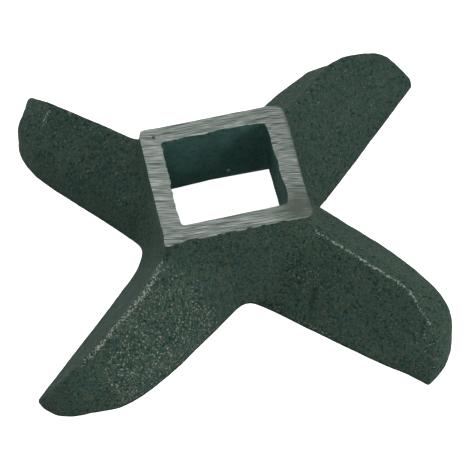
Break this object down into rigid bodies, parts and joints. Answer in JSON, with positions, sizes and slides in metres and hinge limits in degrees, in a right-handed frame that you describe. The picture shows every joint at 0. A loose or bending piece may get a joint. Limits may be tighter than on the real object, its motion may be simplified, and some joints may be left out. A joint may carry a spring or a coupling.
{
  "type": "meat grinder blade",
  "caption": "Cast meat grinder blade: bevelled, round-tipped arms crossing at a square boss with a square bore, flat ground underside.",
  "frame": {"origin": "on the bore's axis, in the plane of the ground underside", "axes": "+Z along the bore away from the underside; +X and +Y square to the bore's sides; the arms lie near the diagonals"},
  "size_m": [0.0532, 0.0532, 0.0121],
  "materials": {
    "cast_iron": "sand-cast dark greenish grey with a fine grain; the boss's top face and the underside ground bright"
  },
  "bodies": {
    "root": {"grinder_blade": "cast_iron"}
  },
  "joints": []
}
